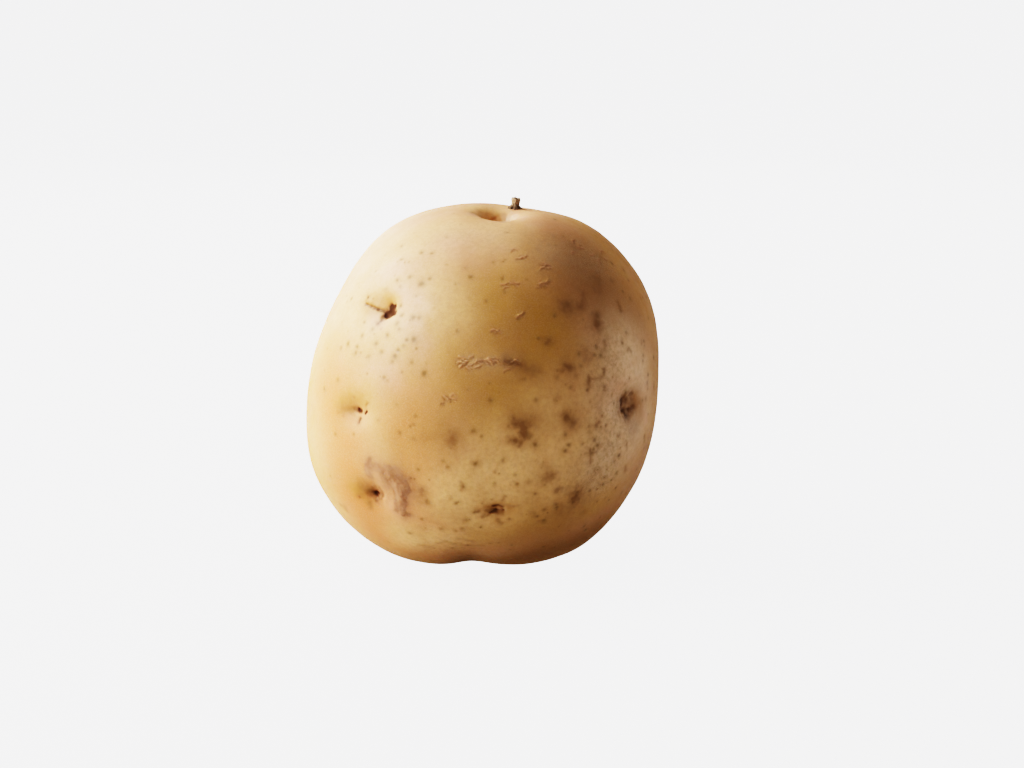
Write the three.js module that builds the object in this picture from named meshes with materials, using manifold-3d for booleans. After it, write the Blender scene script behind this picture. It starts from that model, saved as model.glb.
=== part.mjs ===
// A whole potato that stands on its blunt end, with the stem end and its hollow on top.
//
// Lengths are in millimetres and angles in degrees. +Z is up, +X is to the right and -Y faces the
// viewer. The origin is under the middle of the potato, on the surface that it rests on.
//
// A place on the skin is given by two angles from the heart, the point that the form is drawn round:
// azimuth runs from the viewer's side (0) towards the right (90), elevation from level (0) to up (90).

import * as THREE from "three";
import { mergeVertices } from "three/addons/utils/BufferGeometryUtils.js";
import Module from "manifold-3d";

const wasm = await Module();
wasm.setup();

// The front outline: distances from the heart every 30 degrees, from the right over the top.
const OUTLINE = [39.5, 42.3, 42.8, 40.7, 40.9, 38.2, 39.2, 43.2, 44.1, 41.4, 43.4, 41.2];
const FRONT_DEPTH = 37.5;
const BACK_DEPTH = 36.0;
// Over 2, the squareness makes the cross-section fuller than an ellipse.
const SQUARENESS = 2.15;
// The outline's own waves die out towards the front and the back, within this share of the radius.
const OUTLINE_REACH = 0.7;
// The heart's height over the flat spot that the potato rests on.
const HEART_HEIGHT = 39.3;
const SKIN_DETAIL = 20;

// Broad swellings, and hollows where the height is below zero.
const LOBES = [
  { name: "low_belly", azimuth: 8, elevation: -32, width: 30, height: 1.0 },
  { name: "right_cheek", azimuth: 62, elevation: -2, width: 26, height: 0.9 },
  { name: "upper_right_flat", azimuth: 38, elevation: 30, width: 24, height: -0.8 },
  { name: "stem_saddle", azimuth: 115, elevation: 71, width: 11, height: -1.2 },
  { name: "left_cheek", azimuth: -48, elevation: 8, width: 30, height: 0.6 },
  { name: "back_swell", azimuth: 160, elevation: -14, width: 34, height: 1.3 },
  { name: "back_left_flat", azimuth: -125, elevation: 20, width: 28, height: -1.1 },
  { name: "back_right_swell", azimuth: 118, elevation: 30, width: 24, height: 0.8 },
];

// The eyes: a dimple of this width and height, a bud hole in it, and a brow, the ridge that a leaf
// scar leaves along the dimple's upper edge. Turn leans the eye anticlockwise, seen from outside.
const EYES = [
  { name: "upper_left", azimuth: -38, elevation: 34, turn: 12, width: 4.4, height: 3.3, depth: 1.6, bud: 1.2 },
  { name: "left", azimuth: -42, elevation: 0.5, turn: 5, width: 3.2, height: 2.6, depth: 1.2, bud: 1.1 },
  { name: "lower_left", azimuth: -38, elevation: -26.5, turn: -8, width: 3.2, height: 2.4, depth: 1.1, bud: 1.1 },
  { name: "low_middle", azimuth: 6.5, elevation: -31, turn: 12, width: 3.4, height: 2.0, depth: 0.9, bud: 1.0 },
  { name: "right", azimuth: 52, elevation: 1.5, turn: 35, width: 4.6, height: 4.0, depth: 1.7, bud: 1.9 },
  { name: "back_high", azimuth: 150, elevation: 38, turn: -10, width: 4.4, height: 3.1, depth: 1.4, bud: 1.2 },
  { name: "back_right", azimuth: 118, elevation: -14, turn: 14, width: 4.0, height: 2.8, depth: 1.2, bud: 1.2 },
  { name: "back_middle", azimuth: -170, elevation: 4, turn: -6, width: 4.6, height: 3.2, depth: 1.4, bud: 1.3 },
  { name: "back_left", azimuth: -112, elevation: 18, turn: 8, width: 4.0, height: 2.8, depth: 1.2, bud: 1.2 },
  { name: "back_low", azimuth: 172, elevation: -40, turn: 20, width: 3.8, height: 2.5, depth: 1.1, bud: 1.1 },
  { name: "left_low", azimuth: -100, elevation: -33, turn: -15, width: 3.6, height: 2.4, depth: 1.1, bud: 1.1 },
];
// Depths are shares of the dimple's depth, and the brow's thickness is a share of the dimple's height.
const BUD_DEPTH_SHARE = 0.9;
const BROW = { rise: 0.28, droop: 0.35, thickness: 0.4 };

// The hollow beside the stem end, and the crease across the front of the underside.
const HOLLOW = { azimuth: 42, elevation: 81, width: 3.6, depth: 4.0, skirt: 7.0, skirtDepth: 1.0 };
const CREASE = { x: -2.4, front: -19, back: -4, end: -30, width: 3.8, depth: 1.6 };

// Triangles are drawn together round an eye or the hollow, so that their forms come out.
const GATHER_REACH = 15;
const GATHER_PULL = 0.55;
const SAME_DIRECTION = 1e-6;

// The dried stub of the stolon, the underground stem that the potato grew on.
const STUB = {
  azimuth: 104,
  elevation: 78.5,
  lean: -8,
  sides: 14,
  // Radius and height over the skin, from the root to the broken tip.
  profile: [
    [1.5, -0.9],
    [1.6, 0.1],
    [1.35, 0.4],
    [0.95, 0.8],
    [0.85, 1.2],
    [1.0, 1.8],
    [1.05, 2.2],
    [0.7, 2.5],
  ],
  tipHollow: 0.35,
  rib: 0.12,
  ribs: 5,
};
const SOCKET_GAP = 0.3;

const radians = THREE.MathUtils.degToRad;

// The unit vector from the heart towards a place on the skin.
function towards({ azimuth, elevation }) {
  const level = Math.cos(radians(elevation));
  return new THREE.Vector3(
    level * Math.sin(radians(azimuth)),
    -level * Math.cos(radians(azimuth)),
    Math.sin(radians(elevation)),
  );
}

// The outline's distance from the heart at an angle, on a smooth closed curve through its points.
function outlineAt(angle) {
  const count = OUTLINE.length;
  const place = (((angle / (2 * Math.PI)) * count) % count) + count;
  const first = Math.floor(place);
  const t = place - first;
  const [a, b, c, d] = [-1, 0, 1, 2].map((step) => OUTLINE[(first + step) % count]);
  return b + 0.5 * t * (c - a + t * (2 * a - 5 * b + 4 * c - d + t * (3 * (b - c) + d - a)));
}

const MEAN_RADIUS = OUTLINE.reduce((sum, radius) => sum + radius) / OUTLINE.length;

// The plain form's distance from the heart, before swellings and eyes.
function formRadius(direction) {
  const across = Math.hypot(direction.x, direction.z);
  const waves = Math.min(1, across / OUTLINE_REACH) ** 2;
  const outline = THREE.MathUtils.lerp(MEAN_RADIUS, outlineAt(Math.atan2(direction.z, direction.x)), waves);
  const depth = direction.y < 0 ? FRONT_DEPTH : BACK_DEPTH;
  const sum = (across / outline) ** SQUARENESS + (Math.abs(direction.y) / depth) ** SQUARENESS;
  return sum ** (-1 / SQUARENESS);
}

function bell(distance) {
  return Math.exp(-distance * distance);
}

function swelling(direction, lobe) {
  const angle = THREE.MathUtils.radToDeg(direction.angleTo(towards(lobe)));
  return lobe.height * bell(angle / lobe.width);
}

// Where a point of the skin lies from an eye's middle: along the eye, and up across it.
function eyePlace(direction, radius, eye) {
  const out = towards(eye);
  const along = new THREE.Vector3(0, 0, 1).cross(out).normalize();
  along.applyAxisAngle(out, radians(eye.turn));
  const up = out.clone().cross(along);
  const offset = direction.clone().multiplyScalar(radius);
  return { u: offset.dot(along), v: offset.dot(up), facing: direction.dot(out) > 0 };
}

function eyeRelief(direction, radius, eye) {
  const { u, v, facing } = eyePlace(direction, radius, eye);
  if (!facing) return 0;
  const dimple = -eye.depth * bell(Math.hypot(u / eye.width, v / eye.height));
  const bud = -eye.depth * BUD_DEPTH_SHARE * bell(Math.hypot(u, v) / eye.bud);
  const browLine = eye.height * (1 - BROW.droop * (u / eye.width) ** 2);
  const overBrow = (v - browLine) / (BROW.thickness * eye.height);
  const brow = eye.depth * BROW.rise * bell(overBrow) * bell(u / eye.width);
  return dimple + bud + brow;
}

function hollowRelief(direction, radius) {
  const distance = radius * direction.angleTo(towards(HOLLOW));
  return -HOLLOW.depth * bell(distance / HOLLOW.width) - HOLLOW.skirtDepth * bell(distance / HOLLOW.skirt);
}

function creaseRelief(direction, radius) {
  if (direction.z > 0) return 0;
  const x = radius * direction.x;
  const y = radius * direction.y;
  const opening = THREE.MathUtils.smoothstep(-y, -CREASE.back, -CREASE.front);
  const closing = 1 - THREE.MathUtils.smoothstep(-y, -CREASE.front, -CREASE.end);
  return -CREASE.depth * opening * closing * bell((x - CREASE.x) / CREASE.width);
}

// The skin's point in a direction from the heart, with the flat spot cut level.
function skinPoint(direction) {
  let radius = formRadius(direction);
  for (const lobe of LOBES) radius += swelling(direction, lobe);
  let relief = hollowRelief(direction, radius);
  for (const eye of EYES) relief += eyeRelief(direction, radius, eye);
  radius += relief;
  const down = -direction.z * radius;
  if (down > HEART_HEIGHT) radius *= HEART_HEIGHT / down;
  radius += creaseRelief(direction, radius);
  return direction.clone().multiplyScalar(radius);
}

// Moves a direction towards a place, most in the middle of its surroundings.
function gather(direction, place) {
  const middle = towards(place);
  const angle = direction.angleTo(middle);
  const share = angle / radians(GATHER_REACH);
  if (share >= 1 || angle < SAME_DIRECTION) return;
  const axis = direction.clone().cross(middle).normalize();
  direction.applyAxisAngle(axis, angle * GATHER_PULL * (1 - share) ** 2);
}

function tuberGeometry() {
  const ball = new THREE.IcosahedronGeometry(1, SKIN_DETAIL);
  ball.deleteAttribute("normal");
  ball.deleteAttribute("uv");
  const skin = mergeVertices(ball);
  const position = skin.getAttribute("position");
  const point = new THREE.Vector3();
  for (let i = 0; i < position.count; i++) {
    point.fromBufferAttribute(position, i).normalize();
    for (const place of [HOLLOW, ...EYES]) gather(point, place);
    const placed = skinPoint(point);
    position.setXYZ(i, placed.x, placed.y, placed.z);
  }
  return skin;
}

// A turned form with shallow ribs round it, grown by a gap all over.
function stubGeometry(gap) {
  const { profile, sides, tipHollow, rib, ribs } = STUB;
  const [root, tip] = [profile[0], profile[profile.length - 1]];
  const points = [
    new THREE.Vector2(0, root[1] - gap),
    ...profile.map(([radius, height], i) => new THREE.Vector2(radius + gap, height - (i === 0 ? gap : 0))),
    new THREE.Vector2(0, tip[1] - tipHollow),
  ];
  const turned = new THREE.LatheGeometry(points, sides);
  turned.deleteAttribute("normal");
  turned.deleteAttribute("uv");
  const stub = mergeVertices(turned);
  const position = stub.getAttribute("position");
  for (let i = 0; i < position.count; i++) {
    const [x, height, z] = [position.getX(i), position.getY(i), position.getZ(i)];
    const rough = height > 0 ? 1 + rib * Math.sin(ribs * Math.atan2(z, x) + height) : 1;
    // The lathe turns round Y, so its height becomes Z.
    position.setXYZ(i, x * rough, -z * rough, height);
  }
  return stub;
}

function solidOf(geometry, matrix) {
  const placed = matrix ? geometry.clone().applyMatrix4(matrix) : geometry;
  const vertProperties = new Float32Array(placed.getAttribute("position").array);
  const triVerts = new Uint32Array(placed.index.array);
  return new wasm.Manifold(new wasm.Mesh({ numProp: 3, vertProperties, triVerts }));
}

function geometryOf(solid) {
  const { numProp, numVert, vertProperties, triVerts } = solid.getMesh();
  const position = new Float32Array(numVert * 3);
  for (let i = 0; i < numVert; i++) position.set(vertProperties.subarray(i * numProp, i * numProp + 3), i * 3);
  const geometry = new THREE.BufferGeometry();
  geometry.setAttribute("position", new THREE.BufferAttribute(position, 3));
  geometry.setIndex(new THREE.BufferAttribute(triVerts, 1));
  geometry.computeVertexNormals();
  return geometry;
}

// The stub stands on the skin, along the skin's own normal and leaning a little to the right.
function stubPlace() {
  const out = towards(STUB);
  const east = new THREE.Vector3(0, 0, 1).cross(out).normalize();
  const north = out.clone().cross(east);
  const step = 0.02;
  const foot = skinPoint(out);
  const besides = skinPoint(out.clone().addScaledVector(east, step).normalize()).sub(foot);
  const beyond = skinPoint(out.clone().addScaledVector(north, step).normalize()).sub(foot);
  const normal = besides.cross(beyond).normalize();
  normal.applyAxisAngle(new THREE.Vector3(0, 1, 0), radians(STUB.lean));
  const turn = new THREE.Quaternion().setFromUnitVectors(new THREE.Vector3(0, 0, 1), normal);
  return new THREE.Matrix4().compose(foot, turn, new THREE.Vector3(1, 1, 1));
}

const skinMaterial = new THREE.MeshStandardMaterial({ color: "#c99a58", roughness: 0.55, metalness: 0 });
const stubMaterial = new THREE.MeshStandardMaterial({ color: "#6b4a2c", roughness: 0.9, metalness: 0 });

const place = stubPlace();
const socket = solidOf(stubGeometry(SOCKET_GAP), place);
const tuber = new THREE.Mesh(geometryOf(solidOf(tuberGeometry()).subtract(socket)), skinMaterial);
tuber.name = "tuber";
const stub = new THREE.Mesh(geometryOf(solidOf(stubGeometry(0), place)), stubMaterial);
stub.name = "stolon_stub";

// The pieces are drawn round the heart, and the group then puts the origin under their middle.
const potato = new THREE.Group();
potato.add(tuber, stub);
const middle = new THREE.Box3().setFromObject(potato).getCenter(new THREE.Vector3());
for (const piece of potato.children) piece.position.set(-middle.x, -middle.y, HEART_HEIGHT);

export default potato;
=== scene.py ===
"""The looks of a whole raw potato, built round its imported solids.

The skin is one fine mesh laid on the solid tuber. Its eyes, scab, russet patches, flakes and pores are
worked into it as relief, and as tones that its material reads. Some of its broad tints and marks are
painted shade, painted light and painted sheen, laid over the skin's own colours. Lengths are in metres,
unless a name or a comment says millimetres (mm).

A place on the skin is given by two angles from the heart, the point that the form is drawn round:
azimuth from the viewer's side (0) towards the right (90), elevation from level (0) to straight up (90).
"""

import math
import random
from collections import namedtuple

import bmesh
import bpy
import numpy as np
from mathutils import Matrix, Vector, noise
from mathutils.bvhtree import BVHTree


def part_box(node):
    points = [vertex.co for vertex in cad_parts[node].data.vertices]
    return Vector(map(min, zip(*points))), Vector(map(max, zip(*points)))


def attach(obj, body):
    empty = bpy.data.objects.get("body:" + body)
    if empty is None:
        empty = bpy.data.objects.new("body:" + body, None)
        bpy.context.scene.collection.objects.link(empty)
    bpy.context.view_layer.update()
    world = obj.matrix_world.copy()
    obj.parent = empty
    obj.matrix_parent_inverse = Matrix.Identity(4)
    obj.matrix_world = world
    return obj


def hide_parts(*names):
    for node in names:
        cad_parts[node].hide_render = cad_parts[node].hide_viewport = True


bl_info = {
    "name": "Whole Potato",
    "version": (1, 0, 0),
    "blender": (4, 5, 0),
    "location": "View3D > Sidebar > Potato",
    "description": "Makes a raw potato's skin, its dried stem stub and a plain studio",
    "category": "Add Mesh",
}

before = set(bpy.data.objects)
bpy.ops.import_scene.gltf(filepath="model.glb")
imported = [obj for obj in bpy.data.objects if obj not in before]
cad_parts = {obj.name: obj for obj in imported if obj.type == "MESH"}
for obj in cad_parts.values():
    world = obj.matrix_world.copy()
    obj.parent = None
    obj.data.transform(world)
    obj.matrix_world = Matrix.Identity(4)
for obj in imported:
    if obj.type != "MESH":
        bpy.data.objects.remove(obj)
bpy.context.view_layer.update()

MM = 0.001

# Vertices that are closer than this, in mm, become one.
WELD_MM = 0.001

BODY = "root"
TUBER = "tuber"
STUB = "stolon_stub"
HEART = Vector((0.0, 0.0005, 0.0393))

# The angle at the heart from the middle of the stub's socket to its rim.
SOCKET_DEGREES = 4.2

# The seeds of the random draws.
SKIN_SEED = 11
STUB_SEED = 5

# The photograph's frame, and the pixel where the potato's middle shows.
PHOTO_WIDTH = 1024
PHOTO_HEIGHT = 768
MIDDLE_PX = 482.0
MIDDLE_PY = 381.8

# A stroke is a mark along a path on the skin. Width is half its breadth, and relief is its height over
# the skin, both in mm. Ragged is how far its edge strays, as a share of its width. Its path is in pixels
# of the photograph for the side that shows there.
Stroke = namedtuple("Stroke", "tone width relief strength ragged path")

# The broad tints of the skin, and their colours. On the side that shows, the umber and honey strokes are
# partly painted shade, the pale ones are painted light, and chalk is a painted sheen.
BROAD_TINTS = {
    "rose": (0.53, 0.265, 0.160),
    "amber": (0.52, 0.165, 0.068),
    "honey": (0.42, 0.215, 0.057),
    "umber": (0.28, 0.135, 0.055),
    "pale": (0.76, 0.440, 0.210),
    "chalk_and_sheen": (0.72, 0.450, 0.265),
}

# The tones that strokes lay on the skin, each an attribute of its own.
TONES = (*BROAD_TINTS, "fleck", "net", "hole", "scar_and_shade", "ochre_and_shade", "blush", "russet", "scab", "pore")

# These keep their edges. The others fade out into the skin by a halo, given by its share of the tone and
# its reach in widths.
CRISP_TONES = (*BROAD_TINTS, "fleck", "net", "hole")
HALO = 0.38
HALO_REACH = 2.1

# A stroke lays nothing past so many widths, and its edge strays in so many waves to the mm.
STROKE_REACH = 4.5
STRAY_WAVES = 1.3

# The breadths in mm of the skin's swells, and the finer one's height as a share of the broad one's.
BROAD_SWELL = 9.0
FINE_SWELL = 3.4
FINE_SWELL_SHARE = 0.28
FINE_SWELL_OFFSET = Vector((31.0, 7.0, 3.0))

# How the skin's mesh is split under its marks: within so many widths and mm of a spot, down to edges of
# so many mm. Marks under the narrow width get the fine split too.
Split = namedtuple("Split", "reach margin finest")
COARSE_SPLIT = Split(1.5, 0.35, 0.5)
FINE_SPLIT = Split(1.1, 0.12, 0.28)
NARROW = 0.9

# The two colours of the ragged scab, and where its noise turns from one to the other.
SCAB_DARK = (0.235, 0.115, 0.064)
SCAB_PALE = (0.31, 0.158, 0.090)
SCAB_RISE = (-0.12, 0.14)

# The marks, in the order that they are laid: how far each covers the skin, and its colour. The ochre
# and scar marks also stand for painted shade in and beside the eyes.
MARKS = {
    "ochre_and_shade": (0.95, (0.36, 0.160, 0.048)),
    "blush": (0.75, (0.60, 0.29, 0.18)),
    "russet": (0.92, (0.205, 0.102, 0.042)),
    "scab": (0.86, SCAB_DARK),
    "scar_and_shade": (0.95, (0.095, 0.040, 0.015)),
    "pore": (0.90, (0.20, 0.112, 0.042)),
}
PIT = (0.038, 0.012, 0.005)
PIT_RISE = (0.15, 0.92, 0.0, 0.95)

# The skin's noises: waves to the metre, detail and roughness.
GRAINS = {
    "broad": (38.0, 2.0, 0.55),
    "middle": (190.0, 4.0, 0.55),
    "fine": (1100.0, 4.0, 0.6),
    "powder": (4200.0, 2.0, 0.55),
    "ragged": (800.0, 5.0, 0.7),
    "flaky": (480.0, 2.5, 0.55),
}
ROSE_GRAIN = (55.0, 3.0, 0.55)
ROSE_OFFSET = (3.1, 1.7, 0.4)

# Where the noises turn the ground from straw to honey, and to rose up to a share.
HONEY_RISE = (0.38, 0.62)
ROSE_RISE = (0.45, 0.68, 0.0, 0.9)

# The mottles over the ground colour: the noise, its two limits, how far it covers, and its colour.
MOTTLES = (
    ("middle", 0.30, 0.70, 0.30, (0.40, 0.20, 0.08)),
    ("fine", 0.35, 0.70, 0.26, (0.34, 0.17, 0.07)),
    ("powder", 0.40, 0.75, 0.16, (0.74, 0.48, 0.32)),
)

# Round specks scattered in the skin: how many to the metre, the offset of their pattern, their reach, how
# far they cover plain skin and flecked skin, and their colour.
Specks = namedtuple("Specks", "per_metre offset reach plain flecked colour")

DUST = Specks(560.0, (0.0, 0.0, 0.0), 0.33, 0.20, 0.55, (0.24, 0.128, 0.052))
SPOTS = Specks(300.0, (0.7, 0.3, 0.9), 0.25, 0.15, 0.65, (0.22, 0.115, 0.046))

# What ragged edges, unlike sizes and flecked skin add to the distance from a speck's middle, and the
# distance within which a speck is whole.
SPECK_RAGGED = 0.30
SPECK_UNLIKE = 0.40
SPECK_FLECKED = -0.04
SPECK_WHOLE = 0.03

# The fine net: cells to the metre, the waves of the noise that bends them and how far, the breadth of a
# thread in cells, and the limits of the noise that shows between threads. Its covers are how far that
# noise and then the threads colour the skin, with their colours. The threads' pale colour is partly a
# painted highlight on the skin's fine wrinkles.
NET_CELLS = 1050.0
NET_WAVES = 900.0
NET_BEND = 0.02
NET_THREAD = (0.02, 0.22)
NET_BETWEEN = (0.42, 0.62)
NET_COVERS = (
    (0.34, (0.27, 0.155, 0.075)),
    (0.36, (0.66, 0.43, 0.27)),
)

# How far the flaky noise breaks a mark up, the tone under which nothing of a mark shows, and how far the
# ragged noise frays a pit.
MARK_BREAK = 1.3
MARK_FLOOR = 0.02
PIT_FRAY = 0.5

# The skin's roughness: the limits that it follows the middle noise between, and what marks add to it.
DULL_RISE = (0.30, 0.70, 0.40, 0.54)
DULLER = {"scab": 0.28, "russet": 0.15, "hole": 0.5}

# What each pattern adds to the skin's fine relief. Crust and scurf are the ragged noise on the scab and on
# russet patches.
FINE_RELIEF = {
    "middle": 0.6,
    "fine": 0.5,
    "powder": 0.16,
    "dust": -0.6,
    "thread": 0.5,
    "crust": 1.6,
    "scurf": 0.8,
}

# The eyes that show. The solid tuber has a dimple at each of these places. The ochre strokes colour the
# dimples' walls and are partly painted shade. Some scar and umber strokes are painted shadow, and some
# blush strokes are partly painted highlight, as noted beside them.
Eye = namedtuple("Eye", "azimuth elevation strokes")

EYES = {
    "upper_left": Eye(-38, 34, (
        Stroke("ochre_and_shade", 2.2, 0.0, 0.85, 0.3, ((369, 302), (379, 300), (389, 301))),
        Stroke("ochre_and_shade", 1.3, 0.0, 0.80, 0.3, ((368, 311), (374, 314))),
        Stroke("blush", 1.6, 0.0, 0.50, 0.3, ((374, 320), (384, 323))),
        Stroke("scar_and_shade", 0.36, -0.25, 0.85, 0.4, ((366, 304), (371, 306.5), (379, 309.5), (384, 310.5))),
        Stroke("scar_and_shade", 0.42, -0.10, 1.10, 0.4, ((371, 306.5),)),
        Stroke("scar_and_shade", 0.36, -0.10, 1.10, 0.4, ((378.7, 309.3),)),
        Stroke("scar_and_shade", 0.30, -0.08, 0.85, 0.4, ((368.2, 297.7),)),
        Stroke("scar_and_shade", 0.25, -0.06, 0.45, 0.4, ((372.9, 298.9),)),
        Stroke("hole", 1.10, -0.45, 1.40, 0.4, ((387.6, 313.6), (391, 312.4), (392.4, 308))),
        Stroke("hole", 0.62, -0.15, 1.20, 0.4, ((386.2, 315), (395, 312.6))),
        Stroke("scar_and_shade", 0.60, -0.10, 0.95, 0.4, ((384, 317), (381, 320.5), (378.3, 323.2))),
    )),
    "left": Eye(-42, 0.5, (
        Stroke("ochre_and_shade", 2.4, 0.0, 0.75, 0.3, ((343, 404), (350, 399), (361, 401))),
        Stroke("ochre_and_shade", 1.2, 0.0, 0.85, 0.3, ((342, 409), (353, 408))),
        # Partly a painted highlight under the eye.
        Stroke("blush", 2.0, 0.0, 0.30, 0.3, ((350, 421), (358, 425), (368, 421))),
        # Painted shade to the left of the hole.
        Stroke("scar_and_shade", 1.10, -0.10, 0.38, 0.4, ((343, 410), (356, 410))),
        Stroke("scar_and_shade", 0.55, -0.10, 0.70, 0.4, ((354, 409.3), (358, 410.5))),
        Stroke("hole", 0.72, -0.30, 1.05, 0.4, ((358.8, 409.8), (359.8, 411))),
        Stroke("hole", 0.40, -0.15, 0.95, 0.3, ((365.2, 413.4), (366.6, 411.6))),
        Stroke("scar_and_shade", 0.32, -0.12, 1.00, 0.4, ((360.6, 418.5), (358.9, 423))),
        Stroke("scar_and_shade", 0.34, -0.08, 0.45, 0.4, ((338.5, 412.5),)),
        Stroke("scar_and_shade", 0.30, -0.08, 0.35, 0.4, ((343.5, 416.5),)),
        Stroke("scar_and_shade", 0.30, -0.08, 0.35, 0.4, ((354, 397.5),)),
        Stroke("scar_and_shade", 0.28, -0.08, 0.40, 0.4, ((366, 405.5), (368, 403.5))),
    )),
    "lower_left": Eye(-38, -26.5, (
        Stroke("ochre_and_shade", 2.1, 0.0, 0.90, 0.3, ((356, 489), (366, 489))),
        Stroke("ochre_and_shade", 1.4, 0.0, 0.80, 0.3, ((365, 497), (369, 501))),
        Stroke("russet", 1.70, 0.0, 0.70, 0.4, ((365, 487.5), (371, 490.5))),
        Stroke("scar_and_shade", 1.15, -0.15, 0.65, 0.3, ((377, 490.5), (380.5, 494), (378, 498.5), (373, 495))),
        Stroke("scar_and_shade", 0.50, 0.0, 0.70, 0.3, ((379.5, 488.3), (382.8, 493.5), (381.5, 498.5), (376, 501))),
        Stroke("hole", 0.95, -0.40, 1.00, 0.3, ((376.2, 493.8),)),
        Stroke("blush", 0.90, 0.10, 0.40, 0.3, ((382, 484.5), (387, 493.5), (385, 502))),
        Stroke("scar_and_shade", 0.44, -0.08, 0.60, 0.4, ((359.4, 497),)),
        Stroke("russet", 0.60, -0.05, 0.60, 0.5, ((370.6, 503.5), (370.5, 508))),
    )),
    "low_middle": Eye(6.5, -31, (
        Stroke("ochre_and_shade", 1.6, 0.0, 0.60, 0.4, ((488, 508), (507, 508))),
        Stroke("scar_and_shade", 1.00, -0.10, 0.70, 0.4, ((492, 511), (501, 511.5))),
        Stroke("hole", 0.62, -0.20, 0.62, 0.4, ((491.4, 513.4), (495.6, 511.2))),
        Stroke("scar_and_shade", 0.42, -0.10, 0.85, 0.3, ((493.5, 506.4), (498.5, 505.2), (503, 507.2))),
        Stroke("hole", 0.36, -0.10, 0.55, 0.3, ((504, 510.2),)),
        # Partly a painted highlight on the ridge between the holes.
        Stroke("blush", 0.26, 0.10, 0.70, 0.2, ((498, 508.8), (500.2, 508.6), (502.2, 509.4))),
        Stroke("russet", 0.62, -0.05, 0.60, 0.4, ((498, 521), (501.5, 523.4))),
        Stroke("russet", 0.50, 0.0, 0.70, 0.4, ((475.6, 511.9), (478, 512))),
        Stroke("russet", 0.55, 0.0, 0.70, 0.4, ((483, 517), (485.5, 516))),
        Stroke("russet", 0.42, 0.0, 0.50, 0.4, ((486, 510.4),)),
        Stroke("russet", 0.42, 0.0, 0.50, 0.4, ((504.5, 497), (502.4, 499.8))),
        Stroke("russet", 0.36, -0.05, 0.45, 0.4, ((509, 506), (519, 506))),
    )),
    "right": Eye(52, 1.5, (
        Stroke("ochre_and_shade", 1.7, 0.0, 0.60, 0.3, ((637, 399), (641, 404), (641, 413))),
        # Partly painted light above and left of the eye.
        Stroke("blush", 2.4, 0.0, 0.40, 0.3, ((617, 390), (624, 384))),
        # Painted shadow in the furrow below the eye, over a shallow groove.
        Stroke("umber", 2.8, -0.20, 1.20, 0.3, ((629, 420), (633, 428))),
        Stroke("scar_and_shade", 1.80, 0.0, 0.28, 0.3, ((629, 419), (633, 427))),
        Stroke("scar_and_shade", 1.50, -0.10, 0.75, 0.3, ((627.5, 400), (629, 408))),
        # Painted shadow to the left of the eye.
        Stroke("scar_and_shade", 1.50, 0.0, 0.45, 0.3, ((619.5, 401), (618.5, 411))),
        Stroke("scar_and_shade", 1.30, -0.30, 0.80, 0.3, ((625, 409.5), (632, 408))),
        Stroke("scar_and_shade", 1.10, -0.20, 0.80, 0.3, ((626, 411), (627.5, 418))),
        Stroke("scar_and_shade", 1.10, -0.10, 0.45, 0.3, ((625, 400), (631, 402))),
        # The dark crescent on the left wall, partly painted shade.
        Stroke("scar_and_shade", 1.10, -0.15, 0.80, 0.3, ((623, 397.5), (622.6, 404), (622, 409))),
        Stroke("hole", 0.55, -0.15, 0.48, 0.4, ((622.8, 398.5), (622.4, 404), (621.8, 408))),
        Stroke("hole", 0.60, -0.10, 0.42, 0.4, ((624, 410.5), (630, 408.5))),
        Stroke("scar_and_shade", 0.65, -0.15, 0.70, 0.3, ((629.4, 395.8), (631.5, 393.5))),
        Stroke("blush", 0.90, 0.10, 0.50, 0.3, ((645, 416), (645.5, 422))),
    )),
}

# The eyes on the hidden sides, each made like one that shows, turned by degrees and scaled. They carry
# copies of its painted shade and highlights.
HiddenEye = namedtuple("HiddenEye", "azimuth elevation like turn size")

HIDDEN_EYES = (
    HiddenEye(150, 38, "upper_left", -10, 0.95),
    HiddenEye(118, -14, "lower_left", 170, 0.95),
    HiddenEye(-170, 4, "right", 160, 0.85),
    HiddenEye(-112, 18, "left", 12, 1.0),
    HiddenEye(172, -40, "low_middle", 20, 1.05),
    HiddenEye(-100, -33, "lower_left", -15, 0.9),
)

# The hollow beside the stem end. Its pale stroke is painted light on the back wall, and the dark slit at
# its foot is partly painted shade.
HOLLOW = (
    # Painted light on the back wall.
    Stroke("pale", 2.6, 0.0, 1.20, 0.1, ((476, 210), (485, 212), (494, 216))),
    Stroke("honey", 2.2, 0.0, 0.45, 0.1, ((478, 211), (486, 213), (493, 217))),
    Stroke("honey", 2.20, -1.15, 0.50, 0.1, ((489, 219.6), (496, 220.8), (503, 220.8))),
    # The dark slit, partly painted shade.
    Stroke("hole", 0.48, -0.10, 0.80, 0.4, ((494, 219.4), (498.5, 220), (503.5, 219.6))),
)

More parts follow.
